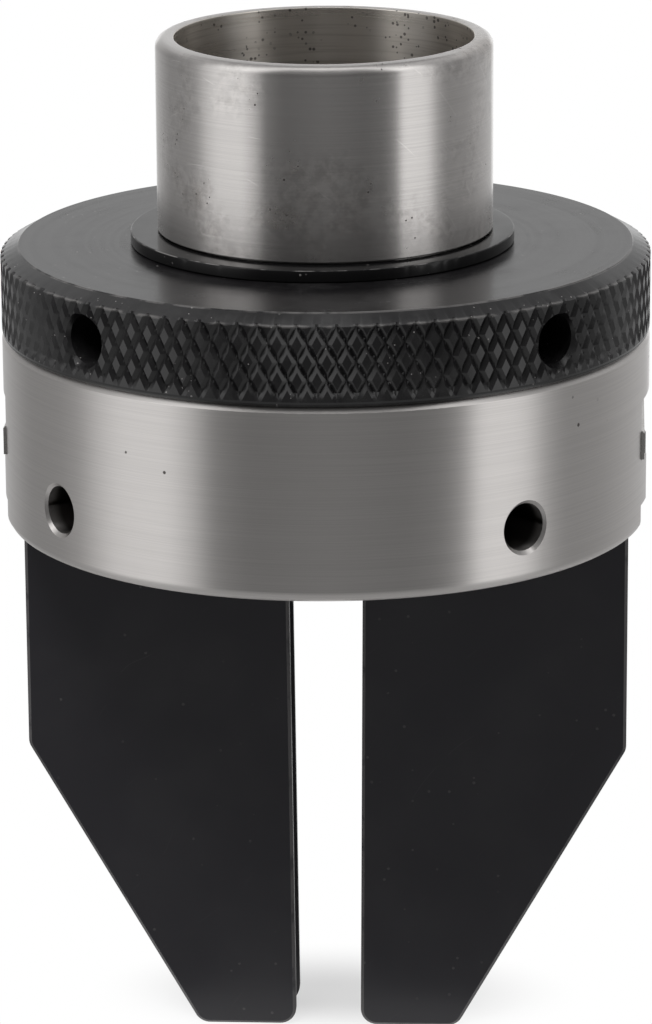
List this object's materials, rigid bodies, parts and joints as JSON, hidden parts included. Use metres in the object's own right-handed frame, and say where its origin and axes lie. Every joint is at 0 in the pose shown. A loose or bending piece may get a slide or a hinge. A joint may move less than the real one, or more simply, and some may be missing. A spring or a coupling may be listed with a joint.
{
  "type": "two-jaw scroll chuck",
  "caption": "Self-centring two-jaw lathe chuck with a threaded hub, a knurled scroll ring with tommy-bar holes and long bevelled vee-grooved jaws.",
  "frame": {"origin": "centre of the hub's rear rim, where the spindle's shoulder seats, at the mouth of the register bore", "axes": "+Z along the lathe axis, out of the bore towards the lathe; the jaws point to -Z and slide along X; -Y is the side seen in the picture"},
  "size_m": [0.07, 0.07, 0.1113],
  "materials": {
    "bright_steel": "turned and brushed steel, ground hub",
    "black_knurled_steel": "black oxide, diamond knurl",
    "blackened_spring_steel": "dull black phosphate",
    "black_oxide_steel": "satin black oxide, worn bright on its edges",
    "ground_steel": "ground, lightly oiled steel",
    "black_screw_steel": "black oxide screw"
  },
  "bodies": {
    "chuck": {"chuck_body": "bright_steel", "retaining_ring": "blackened_spring_steel"},
    "scroll": {"scroll_ring": "black_knurled_steel"},
    "right_jaw": {"right_jaw_slide": "ground_steel", "right_jaw_plate": "black_oxide_steel", "right_inner_screw": "black_screw_steel", "right_outer_screw": "black_screw_steel", "right_inner_dowel": "ground_steel", "right_outer_dowel": "ground_steel"},
    "left_jaw": {"left_jaw_slide": "ground_steel", "left_jaw_plate": "black_oxide_steel", "left_inner_screw": "black_screw_steel", "left_outer_screw": "black_screw_steel", "left_inner_dowel": "ground_steel", "left_outer_dowel": "ground_steel"}
  },
  "joints": [
    {"name": "scroll_turn", "type": "hinge", "parent": "chuck", "child": "scroll", "pos_m": [0, 0, -0.03], "axis": [0, 0, 1], "range_deg": [-395, 1031]},
    {"name": "right_jaw_travel", "type": "slide", "parent": "chuck", "child": "right_jaw", "axis": [1, 0, 0], "range_m": [-0.0033, 0.0086]},
    {"name": "left_jaw_travel", "type": "slide", "parent": "chuck", "child": "left_jaw", "axis": [-1, 0, 0], "range_m": [-0.0033, 0.0086]}
  ],
  "couplings": [
    {"joint": "right_jaw_travel", "follows": "scroll_turn", "m_per_rad": 0.00047746},
    {"joint": "left_jaw_travel", "follows": "scroll_turn", "m_per_rad": 0.00047746}
  ]
}
